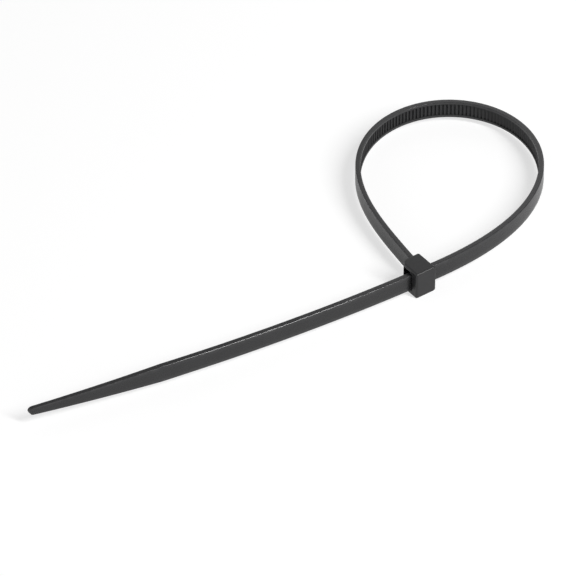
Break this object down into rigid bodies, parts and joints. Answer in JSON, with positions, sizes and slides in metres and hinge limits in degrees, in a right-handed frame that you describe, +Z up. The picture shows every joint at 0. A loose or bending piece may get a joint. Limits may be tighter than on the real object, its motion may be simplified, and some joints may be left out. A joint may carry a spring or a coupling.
{
  "type": "cable tie",
  "caption": "Black nylon cable tie with a toothed strap, closed into a loop, its tapered tail pulled through the ratchet head.",
  "frame": {"origin": "on the head's resting side face, below the point where the root strap's and the slot's centre lines cross", "axes": "+Z up, across the strap's width; the root strap leaves the head along +Y, the tail leaves the slot along -X, leaning 2.3 degrees towards +Y, and the loop lies towards +X and +Y"},
  "size_m": [0.1684, 0.0587, 0.0079],
  "materials": {
    "black_nylon": "moulded nylon, satin, with a fine even grain"
  },
  "bodies": {
    "root": {"cable_tie": "black_nylon"}
  },
  "joints": []
}
